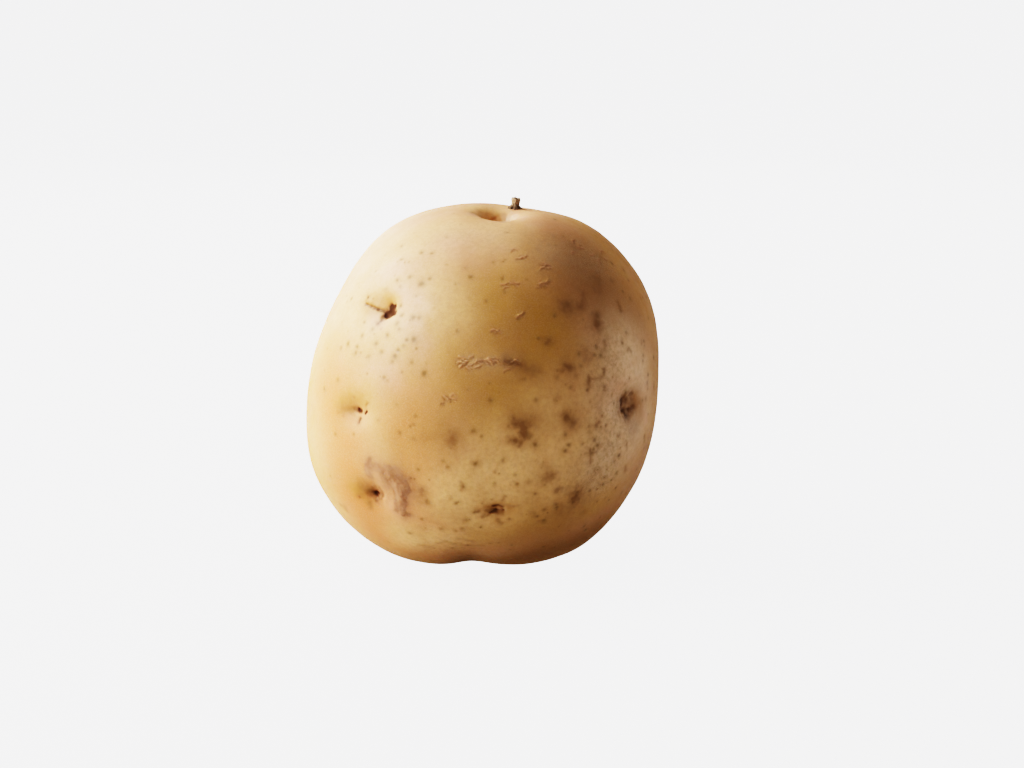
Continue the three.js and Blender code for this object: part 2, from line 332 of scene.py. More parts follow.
SCAB = (
    Stroke("scab", 0.75, 0.06, 1.35, 0.5, ((369.6, 459), (367.8, 465), (367.8, 471), (369.8, 475.5))),
    Stroke("scab", 1.20, 0.03, 1.10, 0.4, ((370, 466), (379, 467.5), (386, 470))),
    Stroke("scab", 1.65, 0.08, 1.60, 0.4, ((386, 472), (393, 474), (401, 481))),
    Stroke("scab", 2.00, 0.10, 1.70, 0.4, ((391, 478), (398.5, 484), (402, 489))),
    Stroke("scab", 1.30, 0.08, 1.60, 0.4, ((399, 489), (401.5, 496), (402.5, 501))),
    Stroke("scab", 0.70, 0.06, 1.40, 0.5, ((398.5, 496), (397.5, 503), (396.6, 510))),
    Stroke("scab", 0.80, 0.06, 1.40, 0.5, ((402.5, 500), (402.5, 508), (404, 514.5))),
    Stroke("scab", 0.65, 0.04, 1.20, 0.5, ((403, 515), (409, 514.5))),
    Stroke("russet", 0.45, -0.04, 0.65, 0.5, (
        (390, 469.5), (399, 475.5), (408, 483), (410, 491), (406, 497),
    )),
    Stroke("russet", 0.38, -0.04, 0.65, 0.5, ((384, 474), (390, 483), (395, 491), (396.5, 500))),
    Stroke("russet", 0.36, -0.03, 0.60, 0.5, ((370, 459), (368.4, 465.5))),
    Stroke("blush", 0.40, 0.05, 0.35, 0.4, ((391, 477), (398, 485), (402.5, 493), (401.5, 500))),
    Stroke("blush", 2.20, 0.0, 0.50, 0.3, ((379, 474), (385, 488), (390, 504))),
    Stroke("russet", 0.55, 0.0, 0.40, 0.5, ((410, 489), (418, 491))),
    Stroke("russet", 0.85, 0.03, 0.65, 0.5, ((421.3, 490), (421.8, 496))),
    Stroke("russet", 0.70, 0.0, 0.35, 0.5, ((420, 502), (429, 503))),
)

# Russet patches of the side that shows, each a stroke without its tone.
PATCHES = (
    (1.50, 0.02, 0.75, 0.4, ((453.5, 436), (452, 441))),
    (2.40, 0.0, 0.35, 0.4, ((448, 437), (455, 445))),
    (1.30, 0.0, 0.30, 0.5, ((427, 437), (445, 436.5))),
    (0.55, 0.0, 0.45, 0.5, ((413.3, 438.7),)),
    (0.80, 0.0, 0.45, 0.5, ((456, 450.6), (452, 446.5))),
    (1.45, 0.04, 1.00, 0.4, ((516, 422), (523, 423.5), (527.5, 424))),
    (1.25, 0.03, 1.00, 0.4, ((525, 426), (523, 436))),
    (0.95, 0.03, 0.95, 0.5, ((512, 440.8), (520, 441.5))),
    (2.00, 0.0, 0.25, 0.4, ((518, 430), (521, 438))),
    (1.15, 0.03, 1.00, 0.4, ((566.5, 416.5), (570, 420), (572.8, 423))),
    (0.36, 0.0, 0.70, 0.4, ((562, 415), (567, 417))),
    (0.36, 0.0, 0.70, 0.4, ((570.2, 410.4), (570, 416))),
    (1.80, 0.0, 0.36, 0.4, ((569, 419),)),
    (0.85, 0.03, 1.00, 0.5, ((505, 361), (513, 363), (520.5, 365.5))),
    (1.50, 0.0, 0.65, 0.4, ((522, 366), (533, 371))),
    (0.50, 0.0, 0.50, 0.4, ((521, 379.5), (525, 378.5))),
    (0.90, 0.03, 0.80, 0.6, ((566, 365.5), (570.5, 368))),
    (0.70, 0.0, 0.55, 0.5, ((561, 371), (566, 369))),
    (1.90, 0.0, 0.40, 0.4, ((568, 367),)),
    (0.60, 0.0, 0.60, 0.4, ((575.6, 375.6),)),
    (0.80, 0.0, 0.75, 0.5, ((547, 343), (549, 341))),
    (1.10, 0.0, 0.42, 0.6, ((585, 352), (587, 360))),
    (0.50, 0.0, 0.50, 0.5, ((605, 341), (605, 348))),
    (0.38, 0.0, 0.50, 0.4, ((627.5, 351.5), (628.5, 348), (631, 351))),
    (0.36, 0.0, 0.45, 0.4, ((641.6, 340), (641.6, 344))),
    (0.46, 0.03, 0.80, 0.5, ((589.4, 377.6), (588.8, 384.8))),
    (0.34, 0.02, 0.60, 0.5, ((590, 378.5), (595, 378.6), (600, 378.4), (603, 375.5))),
    (0.44, 0.02, 0.80, 0.4, ((603.6, 375), (604.4, 369.6))),
    (0.60, 0.0, 0.40, 0.5, ((558, 394), (558, 397))),
    (0.48, 0.0, 0.65, 0.4, ((596, 426), (598.5, 422))),
    (0.45, 0.0, 0.50, 0.4, ((644, 436), (644, 441))),
    (0.30, 0.0, 0.40, 0.4, ((626.6, 441), (626.6, 449))),
    (1.60, 0.03, 0.85, 0.4, ((566, 306), (570, 307.5))),
    (1.15, 0.03, 0.85, 0.4, ((579, 306.5), (582, 306))),
    (0.90, 0.0, 0.75, 0.5, ((584, 295), (583.5, 302))),
    (1.60, 0.03, 0.65, 0.5, ((596, 279), (597, 288))),
    (1.20, 0.03, 1.00, 0.4, ((597, 317), (597.6, 325))),
    (2.60, 0.0, 0.36, 0.4, ((597, 322),)),
    # These two broad faint strokes on the upper right shoulder are partly painted shade.
    (3.60, 0.0, 0.30, 0.4, ((568, 304), (590, 292))),
    (4.20, 0.0, 0.20, 0.4, ((578, 262), (598, 275))),
    (0.50, 0.0, 0.75, 0.4, ((617.4, 302), (620.5, 310.5))),
    (0.80, 0.0, 0.50, 0.5, ((612, 280.4),)),
    (0.50, 0.0, 0.50, 0.5, ((623.9, 269.9),)),
    (0.32, 0.02, 0.60, 0.4, ((590.2, 449), (590.5, 463))),
    (0.26, 0.02, 0.45, 0.4, ((585, 453.5), (596, 452))),
    (0.55, 0.0, 0.50, 0.5, ((625.4, 466), (625.4, 470))),
    (1.05, 0.02, 0.80, 0.5, ((546.5, 478), (551.5, 475))),
    (1.00, 0.0, 0.36, 0.5, ((545, 466), (547, 469))),
    (0.75, 0.02, 0.60, 0.5, ((556.5, 491), (560, 488.8))),
    (1.90, 0.02, 0.85, 0.5, ((575, 500), (576.5, 495))),
    (2.60, 0.0, 0.45, 0.4, ((563, 509), (578, 500))),
    (0.60, 0.0, 0.40, 0.5, ((533, 513), (535.5, 516))),
    (0.60, 0.0, 0.36, 0.5, ((540, 521), (544, 522))),
    (0.34, 0.0, 0.40, 0.5, ((461, 481.5), (464, 487), (461, 490))),
    (0.50, 0.02, 0.26, 0.6, ((436, 543), (446, 541), (455, 543.5))),
    (0.50, 0.02, 0.26, 0.6, ((456, 537.5), (465, 539.5), (473, 541.5))),
    (0.45, 0.01, 0.22, 0.6, ((462, 544), (470, 545.5), (482, 545))),
    (0.45, 0.01, 0.22, 0.6, ((420, 544.5), (432, 546.5))),
    (0.50, -0.04, 0.60, 0.5, ((341, 505), (345, 507), (347, 511))),
)

# Broad tints of the side that shows, and where it is flecked or finely netted: tone, width in mm,
# strength and path. They have no relief, and a net there has a more ragged edge. The umber and honey
# strokes are partly the skin's own tone and partly painted shade, the pale strokes are painted light, and
# the chalk down the right side is a painted sheen.
TINT_RAGGED = 0.1
NET_RAGGED = 0.2

TINTS = (
    ("rose", 6.5, 0.90, ((420, 218), (480, 212), (560, 228))),
    ("amber", 10.5, 1.00, ((330, 390), (342, 440), (352, 490), (378, 525))),
    ("amber", 9.0, 0.65, ((405, 420), (425, 470), (400, 505), (440, 545))),
    ("rose", 5.0, 0.60, ((450, 248), (470, 268))),
    ("amber", 4.0, 0.60, ((440, 556), (400, 548))),
    # Partly painted shade: the darker band across the middle.
    ("honey", 9.0, 1.05, ((505, 300), (550, 330), (525, 385), (500, 405))),
    ("honey", 7.0, 0.50, ((470, 380), (440, 430))),
    # Partly painted shade on the upper right shoulder.
    ("umber", 9.5, 1.10, ((575, 258), (604, 290), (622, 318))),
    # Partly painted shade across the middle.
    ("umber", 9.0, 0.16, ((500, 305), (540, 380), (450, 430))),
    # Partly painted shade along the bottom.
    ("honey", 6.0, 0.80, ((490, 530), (560, 515), (600, 495))),
    ("umber", 6.0, 0.95, ((475, 560), (540, 552), (595, 530))),
    ("umber", 6.0, 0.35, ((505, 545), (560, 530))),
    # Painted light on the lower middle and the right middle.
    ("pale", 10.5, 1.15, ((475, 500), (520, 465), (560, 470))),
    ("pale", 7.0, 0.55, ((545, 400), (575, 430))),
    # A painted sheen down the right side.
    ("chalk_and_sheen", 7.5, 0.90, ((622, 350), (622, 430), (605, 465))),
    # Painted light on the lower left and the upper left.
    ("pale", 6.0, 0.85, ((410, 538), (450, 540))),
    ("pale", 5.0, 0.60, ((450, 300), (455, 315))),
    ("fleck", 7.0, 1.00, ((375, 300), (385, 340), (360, 370))),
    ("fleck", 8.0, 0.95, ((605, 350), (605, 440), (590, 490))),
    ("fleck", 8.0, 0.35, ((440, 490), (540, 500))),
    ("net", 6.0, 1.00, ((550, 252), (595, 262))),
    ("net", 5.5, 0.55, ((455, 234), (510, 238), (560, 246))),
    ("net", 6.0, 0.90, ((608, 350), (612, 430), (600, 470))),
    ("net", 2.5, 0.60, ((470, 362), (510, 362))),
)

# The same on the sides that don't show: tone, azimuth, elevation, reach in mm and strength.
HIDDEN_TINTS = (
    ("amber", -120, 10, 13.0, 0.80),
    ("honey", -165, 30, 13.0, 0.80),
    ("chalk_and_sheen", 165, -25, 12.0, 0.80),
    ("rose", 110, 40, 11.0, 0.80),
    ("umber", 125, -30, 9.0, 0.60),
    ("honey", 100, 5, 9.0, 0.60),
    ("pale", -120, -40, 9.0, 0.70),
    ("rose", 180, 65, 12.0, 0.90),
    ("umber", 0, -85, 10.0, 0.60),
    ("fleck", 150, 15, 14.0, 1.00),
    ("fleck", -115, -10, 12.0, 0.70),
    ("fleck", -160, 40, 10.0, 0.60),
    ("fleck", 110, -45, 12.0, 0.80),
    ("net", 140, 0, 12.0, 0.90),
    ("net", -150, 20, 8.0, 0.60),
)

# Specks that show: pixel, half breadth in mm and strength.
SPECKS = (
    (424.5, 373.6, 0.56, 1.35),
    (446, 397, 0.30, 0.43),
    (396.5, 404.5, 0.44, 0.64),
    (400.5, 433, 0.40, 0.64),
    (378, 420, 0.36, 0.50),
    (421.5, 283.8, 0.67, 0.97),
    (400.3, 287.2, 0.40, 0.88),
    (401.7, 315.1, 0.47, 0.97),
    (413.4, 317.6, 0.56, 1.07),
    (419.2, 317.6, 0.49, 0.88),
    (396.7, 323.7, 0.52, 1.02),
    (399, 329.5, 0.38, 0.88),
    (372, 329, 0.49, 0.97),
    (376, 343.5, 0.60, 0.88),
    (414.7, 339.4, 0.60, 1.02),
    (407, 339.9, 0.40, 0.93),
    (357, 346.6, 0.45, 0.88),
    (471, 277, 0.46, 0.85),
    (410, 277, 0.43, 0.93),
    (422, 252.5, 0.40, 0.93),
    (432, 253, 0.38, 0.88),
    (402, 246, 0.36, 0.83),
    (458, 331, 0.46, 0.54),
    (487, 301, 0.38, 0.54),
    (493, 262, 0.34, 0.57),
    (554.6, 316, 0.38, 0.78),
    (491, 400.2, 0.52, 0.71),
    (474.2, 431, 0.60, 0.74),
    (482.3, 436.3, 0.42, 0.64),
    (530.9, 436.6, 0.50, 0.50),
    (535.5, 444.5, 0.58, 0.92),
    (536.5, 400.2, 0.50, 0.54),
    (448.3, 467, 0.52, 0.60),
    (475.6, 463.6, 0.58, 0.81),
    (503.3, 460, 0.50, 0.71),
    (495.2, 472, 0.42, 0.46),
    (515.5, 475.2, 0.42, 0.46),
    (494.9, 483.3, 0.50, 0.50),
    (517.3, 483.9, 0.50, 0.64),
    (463.7, 486.7, 0.52, 0.74),
    (428.7, 503.2, 0.60, 0.46),
    (451.8, 498.3, 0.50, 0.40),
    (422.4, 519.3, 0.46, 0.60),
    (466.5, 520.7, 0.56, 0.54),
    (463.3, 529, 0.52, 0.64),
    (456.7, 531.2, 0.40, 0.50),
    (410.5, 533.7, 0.50, 0.57),
    (407, 513, 0.40, 0.57),
    (594.8, 355.2, 0.50, 0.78),
    (600.8, 355.8, 0.52, 0.88),
    (596.6, 348, 0.46, 0.57),
    (581, 366, 0.46, 0.50),
    (643.4, 355, 0.40, 0.57),
    (604.4, 387, 0.46, 0.71),
    (587.6, 390, 0.40, 0.74),
    (570.8, 387.6, 0.42, 0.54),
    (555.2, 400.8, 0.42, 0.43),
    (602, 415.8, 0.32, 0.71),
    (589.4, 432, 0.52, 0.46),
    (618.2, 436.2, 0.46, 0.78),
    (594.2, 440.4, 0.46, 0.81),
    (597.6, 445.8, 0.46, 0.81),
    (569, 445.2, 0.42, 0.78),
    (565.2, 451, 0.46, 0.78),
    (611.6, 443.6, 0.42, 0.50),
    (626, 444.8, 0.42, 0.54),
    (618.8, 455.6, 0.50, 0.81),
    (614, 461.6, 0.42, 0.50),
    (620, 447.8, 0.32, 0.50),
    (617, 473, 0.50, 0.60),
    (604.4, 477.2, 0.50, 0.43),
    (600.2, 485, 0.46, 0.46),
    (544.4, 509.6, 0.42, 0.57),
    (584, 512, 0.80, 0.43),
    (594.8, 470.6, 0.50, 0.46),
    (630.2, 298.6, 0.46, 0.64),
    (626.7, 332.2, 0.46, 0.64),
    (596.6, 347.6, 0.46, 0.54),
    (621.2, 493.4, 0.46, 0.46),
    (397.4, 280.2, 0.36, 0.97),
    (351.5, 299, 0.43, 0.88),
    (400.8, 305.7, 0.36, 0.97),
    (348, 344.3, 0.49, 0.93),
    (355.7, 353.3, 0.49, 0.97),
    (341.3, 348.2, 0.47, 0.83),
    (361.7, 335.5, 0.47, 0.83),
    (387.2, 335.5, 0.47, 0.83),
    (397.9, 350.3, 0.45, 0.97),
    (395.2, 356.7, 0.58, 1.07),
    (392.3, 361.8, 0.43, 0.88),
    (381.2, 351.6, 0.47, 0.83),
    (368.5, 356.7, 0.47, 0.83),
    (383.8, 377.5, 0.43, 0.83),
    (325, 390.7, 0.42, 0.46),
    (337.9, 380.5, 0.47, 0.78),
    (429.7, 278.5, 0.43, 0.88),
    (556.8, 376.8, 0.48, 0.50),
    (612, 394.8, 0.42, 0.43),
    (647.4, 382.8, 0.55, 0.60),
    (645.6, 398.4, 0.50, 0.50),
    (606, 424.8, 0.42, 0.50),
    (589, 426, 0.42, 0.50),
)

# Places where the skin flakes: pixel, reach in mm and the number of curls.
FLAKES = (
    (515, 250, 0.7, 2),
    (523, 257, 1.0, 4),
    (543, 266, 1.2, 4),
    (511, 283.5, 1.5, 6),
    (543, 286, 1.6, 7),
    (522, 315, 0.9, 3),
    (494, 330, 1.2, 4),
    (467, 363, 1.8, 8),
    (483, 361, 1.6, 6),
    (494, 361, 1.6, 6),
    (512, 364, 1.8, 7),
    (447, 398, 1.6, 6),
    (575, 248, 2.6, 6),
    (600, 256, 2.4, 5),
)

# Where pores are closer together: azimuth, elevation and reach in degrees, and weight.
PORE_FIELDS = (
    (-36, 32, 22, 0.9),
    (56, 4, 22, 1.2),
    (36, -26, 18, 0.7),
    (0, -44, 24, 0.9),
    (150, 20, 34, 0.6),
    (-120, -10, 30, 0.5),
)

# Strokes that are laid by rule. Their empty fields are filled in as each is laid.
PATCH = Stroke("russet", None, 0.03, None, 0.55, None)
SPECK = Stroke("pore", None, -0.05, None, 0.35, None)
PORE = Stroke("pore", None, -0.04, None, 0.35, None)
FLAKE_BED = Stroke("russet", None, -0.03, 0.35, 0.5, None)
CURL = Stroke("blush", 0.22, None, 0.45, 0.3, None)
# A painted shadow in russet, over a shallow groove, under a curl's lower edge.
SHADE = Stroke("russet", 0.27, -0.05, 0.48, 0.4, None)

# The width of a flaky place's bed, as a share of its reach.
BED_SHARE = 0.50

# Patches on the hidden sides keep to skin that faces away from the camera, and off the flat spot. Both
# limits are cosines, and lengths are in mm.
FACING_LIMIT = 0.05
UNDERSIDE_LIMIT = -0.85
PATCH_HALF_LENGTHS = (0.4, 2.2)
PATCH_BENDS = (-0.8, 0.8)
PATCH_WIDTHS = (0.35, 0.5, 0.8, 1.1, 1.4)
PATCH_STRENGTHS = (0.5, 0.95)

# The curls of a flaky place: their turns in degrees, their rise over its middle in reaches, and their
# half lengths, bows and heights in mm. A curl's end takes a share of its bow, and its painted shadow lies
# under it.
CURL_TURNS = (-35, 35)
CURL_RISES = (-0.45, 0.45)
CURL_HALF_LENGTHS = (0.25, 0.7)
CURL_BOWS = (0.1, 0.45)
CURL_HEIGHTS = (0.06, 0.10)
CURL_END = 0.2
SHADE_DROP = 0.32

# The weight of pores on plain skin, and a margin over the heaviest field that no place's weight passes.
PLAIN_WEIGHT = 0.55
WEIGHT_MARGIN = 1.0

# The scattered pores' least half breadth and its spread, in mm, and their strengths.
PORE_WIDTH = 0.20
PORE_WIDTH_SPREAD = 0.26
PORE_STRENGTHS = (0.35, 0.95)

# The dried stub's outline: radius in mm at shares of its length, from the sunken root to the broken tip
# and into the tip's hollow.
STUB_OUTLINE = (
    (0.0, 0.0),
    (1.30, 0.0),
    (1.55, 0.22),
    (1.45, 0.30),
    (1.05, 0.40),
    (0.85, 0.55),
    (0.95, 0.74),
    (0.98, 0.90),
    (0.45, 0.86),
    (0.0, 0.78),
)
STUB_SIDES = 28

# The stub's ribs: depth as a share of the radius, number round it, twist in radians to the mm, and turn.
RIBS = (
    (0.09, 5, 1.3, 0.0),
    (0.05, 11, 0.0, 0.7),
)
ROUGH_DEPTH = 0.16
ROUGH_WAVES = 1.9

# The jags of the broken tip: their height in mm, the circle in noise space that they are read round, and
# where they start along the stub.
JAG_HEIGHT = 0.30
JAG_CIRCLE = 4
JAG_SLICE = 9.0
JAG_START = 0.7

# The splinters there: their ring's radius and their foot's and point's radii in mm, lengths in mm, lean
# in radians, and where they stand along the stub.
SPLINTER_RING = 0.8
SPLINTER_FOOT = 0.17
SPLINTER_POINT = 0.03
SPLINTER_LENGTHS = (0.4, 0.8)
SPLINTER_LEANS = (-0.5, 0.5)
SPLINTER_START = 0.80

# The stub's dark streaks.
STUB_STREAKS = (0.08, 0.04, 0.02)

# The studio's floor and backdrop, in metres. The floor shows a little of the light that falls on it.
FLOOR_RADIUS = 3.9
FLOOR_DROP = 0.05 * MM
FLOOR_GLOW = 0.92
FLOOR_LIT = 0.08
BACKDROP_RADIUS = 4.0
PALE_GLOW = (1.0, 1.0, 1.02)
WORLD_COLOUR = (1.0, 0.93, 0.84)
WORLD_STRENGTH = 0.045

# A soft light: azimuth and elevation in degrees round the potato, and power in watts. It lights the skin,
# shines on it, or does both.
Softbox = namedtuple("Softbox", "name azimuth elevation power lights shines")

SOFTBOX_DISTANCE = 0.65
SOFTBOX_BREADTH = 0.30
LIGHT_COLOUR = (1.0, 0.98, 0.95)

SOFTBOXES = (
    Softbox("key", -120, 35, 4.1, True, True),
    Softbox("left_low", -90, 10, 8.8, True, False),
    Softbox("left_front", -60, 10, 2.8, True, False),
    Softbox("left_high", -90, 38, 2.9, True, True),
    Softbox("left_back", -150, 20, 1.2, True, True),
    Softbox("high", -120, 60, 1.2, True, True),
    Softbox("top_back", 180, 60, 0.4, True, True),
    Softbox("right", 90, 10, 1.5, True, True),
    Softbox("right_back", 150, 15, 0.4, True, False),
    Softbox("back", 180, 15, 0.95, True, False),
    Softbox("front_right", 25, 5, 0.15, True, False),
    Softbox("low_right", 45, -8, 0.4, True, False),
    Softbox("low", -8, -12, 0.55, True, False),
    Softbox("low_left", -60, -25, 1.05, True, False),
    Softbox("shine", -60, 37, 13.0, False, True),
    Softbox("rim", 112, -14, 0.8, False, True),
)


class PotatoSkinSettings(bpy.types.PropertyGroup):
    """Sizes and colours of the skin."""

    fineness: bpy.props.IntProperty(
        name="Fineness",
        description="Subdivisions of the ball that the skin is laid from",
        default=7,
        min=4,
        max=7,
    )
    smoothing: bpy.props.IntProperty(
        name="Smoothing",
        description="Passes that take the solid's facets out of the skin",
        default=18,
        min=0,
    )
    swell: bpy.props.FloatProperty(
        name="Swell",
        description="Height of the skin's broad unevenness",
        default=0.16 * MM,
        subtype="DISTANCE",
        unit="LENGTH",
        precision=5,
    )
    patches: bpy.props.IntProperty(
        name="Patches",
        description="Number of russet patches on the sides that the photograph doesn't show",
        default=34,
        min=0,
    )
    pores: bpy.props.IntProperty(
        name="Pores",
        description="Number of pores scattered over the skin, beside those placed by hand",
        default=430,
        min=0,
    )
    straw: bpy.props.FloatVectorProperty(
        name="Straw",
        description="The skin's palest ground colour",
        default=(0.58, 0.32, 0.155),
        subtype="COLOR",
        min=0.0,
        max=1.0,
    )
    honey: bpy.props.FloatVectorProperty(
        name="Honey",
        description="The skin's yellower ground colour",
        default=(0.50, 0.255, 0.095),
        subtype="COLOR",
        min=0.0,
        max=1.0,
    )
    rose: bpy.props.FloatVectorProperty(
        name="Rose",
        description="The skin's pinker ground colour",
        default=(0.54, 0.275, 0.165),
        subtype="COLOR",
        min=0.0,
        max=1.0,
    )


class StemStubSettings(bpy.types.PropertyGroup):
    """Sizes and colours of the dried stub."""

    fibres: bpy.props.IntProperty(
        name="Fibres",
        description="Number of splinters at the broken tip",
        default=9,
        min=0,
    )
    bark: bpy.props.FloatVectorProperty(
        name="Bark",
        description="Colour of the stub's dried bark",
        default=(0.10, 0.055, 0.025),
        subtype="COLOR",
        min=0.0,
        max=1.0,
    )
    pith: bpy.props.FloatVectorProperty(
        name="Pith",
        description="Colour of the broken tip",
        default=(0.27, 0.18, 0.11),
        subtype="COLOR",
        min=0.0,
        max=1.0,
    )


class StudioSettings(bpy.types.PropertyGroup):
    """The camera's place, and the floor's brightness."""

    lens: bpy.props.FloatProperty(
        name="Lens",
        description="Focal length of the camera in mm",
        default=85.0,
        min=1.0,
    )
    sensor: bpy.props.FloatProperty(
        name="Sensor",
        description="Width of the camera's sensor in mm",
        default=36.0,
        min=1.0,
    )
    distance: bpy.props.FloatProperty(
        name="Distance",
        description="From the camera to the potato's middle",
        default=0.5476,
        subtype="DISTANCE",
        unit="LENGTH",
    )
    elevation: bpy.props.FloatProperty(
        name="Elevation",
        description="Height of the camera over the level",
        default=math.radians(13.0),
        subtype="ANGLE",
        unit="ROTATION",
    )
    look_height: bpy.props.FloatProperty(
        name="Look Height",
        description="Height of the potato's middle over the floor",
        default=0.0395,
        subtype="DISTANCE",
        unit="LENGTH",
    )
    paleness: bpy.props.FloatProperty(
        name="Paleness",
        description="Brightness of the floor and the backdrop",
        default=2.1,
        min=0.0,
    )


class Viewpoint:
    """The photograph's camera: where it stands, and the way through each pixel."""

    def __init__(self, studio):
        rise = studio.elevation
        self.back = Vector((0.0, -math.cos(rise), math.sin(rise)))
        self.right = Vector((1.0, 0.0, 0.0))
        self.up = self.back.cross(self.right)
        self.focal_px = studio.lens / studio.sensor * PHOTO_WIDTH
        pixel = studio.distance / self.focal_px
        across = (PHOTO_WIDTH / 2 - MIDDLE_PX) * pixel
        down = (PHOTO_HEIGHT / 2 - MIDDLE_PY) * pixel
        middle = Vector((0.0, 0.0, studio.look_height))
        self.place = middle + self.right * across - self.up * down + self.back * studio.distance

    def way(self, px, py):
        """The direction from the camera through a pixel of the photograph."""
        across = (px - PHOTO_WIDTH / 2) / self.focal_px
        down = (py - PHOTO_HEIGHT / 2) / self.focal_px
        return (self.right * across - self.up * down - self.back).normalized()


def toward(azimuth, elevation):
    """The direction from the heart to a place on the skin."""
    turn = math.radians(azimuth)
    rise = math.radians(elevation)
    level = math.cos(rise)
    return Vector((level * math.sin(turn), -level * math.cos(turn), math.sin(rise)))


def drawn_direction(draw):
    """A direction drawn at random, as likely on every side."""
    return Vector((draw.gauss(0, 1), draw.gauss(0, 1), draw.gauss(0, 1))).normalized()


def axes_at(out, turn=0.0):
    """The directions across and up on the skin at a place, turned anticlockwise by degrees."""
    across = Vector((0.0, 0.0, 1.0)).cross(out).normalized()
    across.rotate(Matrix.Rotation(math.radians(turn), 3, out))
    return across, out.cross(across)


class Ground:
    """The surface that places are found on: the solid tuber, and later the smooth skin laid on it."""

    def __init__(self, viewpoint):
        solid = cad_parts[TUBER]
        shell = bmesh.new()
        shell.from_mesh(solid.data)
        bmesh.ops.remove_doubles(shell, verts=shell.verts, dist=WELD_MM * MM)
        self.tree = BVHTree.FromBMesh(shell)
        shell.free()
        self.viewpoint = viewpoint

    def becomes(self, skin):
        """Makes the laid skin the surface, so that marks are placed on the skin itself."""
        self.tree = BVHTree.FromBMesh(skin)

    def from_heart(self, direction):
        """The surface's point in a direction from the heart."""
        return self.tree.ray_cast(HEART, direction)[0]

    def seen_at(self, px, py):
        """The surface's point that shows at a pixel of the photograph."""
        found = self.tree.ray_cast(self.viewpoint.place, self.viewpoint.way(px, py))[0]
        if found is None:
            raise RuntimeError(f"no skin shows at pixel {px}, {py}")
        return found

    def path_beside(self, out, axes, steps):
        """The surface's points at steps in mm across and up from a place."""
        across, up = axes
        start = self.from_heart(out)
        path = []
        for u, v in steps:
            moved = start + (across * u + up * v) * MM
            path.append(self.from_heart((moved - HEART).normalized()))
        return path


def seen_strokes(ground, strokes):
    """Strokes drawn in pixels, with their paths as points on the skin."""
    return [
        stroke._replace(path=[ground.seen_at(px, py) for px, py in stroke.path]) for stroke in strokes
    ]


def eye_strokes(ground):
    """Every eye's strokes, with their paths as points on the skin."""
    laid = []
    for eye in EYES.values():
        laid += seen_strokes(ground, eye.strokes)
    for hidden in HIDDEN_EYES:
        like = EYES[hidden.like]
        like_out = toward(like.azimuth, like.elevation)
        middle = ground.from_heart(like_out)
        across, up = axes_at(like_out)
        out = toward(hidden.azimuth, hidden.elevation)
        axes = axes_at(out, hidden.turn)
        for stroke in seen_strokes(ground, like.strokes):
            steps = []
            for point in stroke.path:
                u = (point - middle).dot(across) * hidden.size / MM
                v = (point - middle).dot(up) * hidden.size / MM
                steps.append((u, v))
            path = ground.path_beside(out, axes, steps)
            laid.append(stroke._replace(path=path, width=stroke.width * hidden.size))
    return laid


def tint_strokes(ground):
    """Broad tints of the side that shows, then of the hidden sides."""
    laid = []
    for tone, width, strength, path in TINTS:
        ragged = NET_RAGGED if tone == "net" else TINT_RAGGED
        laid.append(Stroke(tone, width, 0.0, strength, ragged, path))
    laid = seen_strokes(ground, laid)
    for tone, azimuth, elevation, reach, strength in HIDDEN_TINTS:
        spot = ground.from_heart(toward(azimuth, elevation))
        laid.append(Stroke(tone, reach, 0.0, strength, TINT_RAGGED, [spot]))
    return laid


def hidden_patches(ground, settings, draw):
    """Russet patches on the sides that the photograph doesn't show."""
    laid = []
    while len(laid) < settings.patches:
        out = drawn_direction(draw)
        start = ground.from_heart(out)
        to_camera = (ground.viewpoint.place - start).normalized()
        if out.dot(to_camera) > FACING_LIMIT or out.z < UNDERSIDE_LIMIT:
            continue
        axes = axes_at(out, draw.uniform(0, 360))
        half = draw.uniform(*PATCH_HALF_LENGTHS)
        bend = draw.uniform(*PATCH_BENDS)
        path = ground.path_beside(out, axes, ((-half, 0.0), (0.0, bend), (half, 0.0)))
        width = draw.choice(PATCH_WIDTHS)
        strength = draw.uniform(*PATCH_STRENGTHS)
        laid.append(PATCH._replace(width=width, strength=strength, path=path))
    return laid


def flake_strokes(ground, draw):
    """Small curls where the outer skin has lifted, each with a painted shadow in russet under its lower
    edge.
    """
    laid = []
    for px, py, reach, count in FLAKES:
        bed = ground.seen_at(px, py)
        out = (bed - HEART).normalized()
        laid.append(FLAKE_BED._replace(width=BED_SHARE * reach, path=[bed]))
        for _ in range(count):
            axes = axes_at(out, draw.uniform(*CURL_TURNS))
            u = draw.uniform(-reach, reach)
            v = draw.uniform(*CURL_RISES) * reach
            half = draw.uniform(*CURL_HALF_LENGTHS)
            bow = draw.choice((-1, 1)) * draw.uniform(*CURL_BOWS)
            steps = ((u - half, v), (u, v + bow), (u + half, v + CURL_END * bow))
            path = ground.path_beside(out, axes, steps)
            laid.append(CURL._replace(relief=draw.uniform(*CURL_HEIGHTS), path=path))
            below = ground.path_beside(out, axes, [(a, b - SHADE_DROP) for a, b in steps])
            laid.append(SHADE._replace(path=below))
    return laid


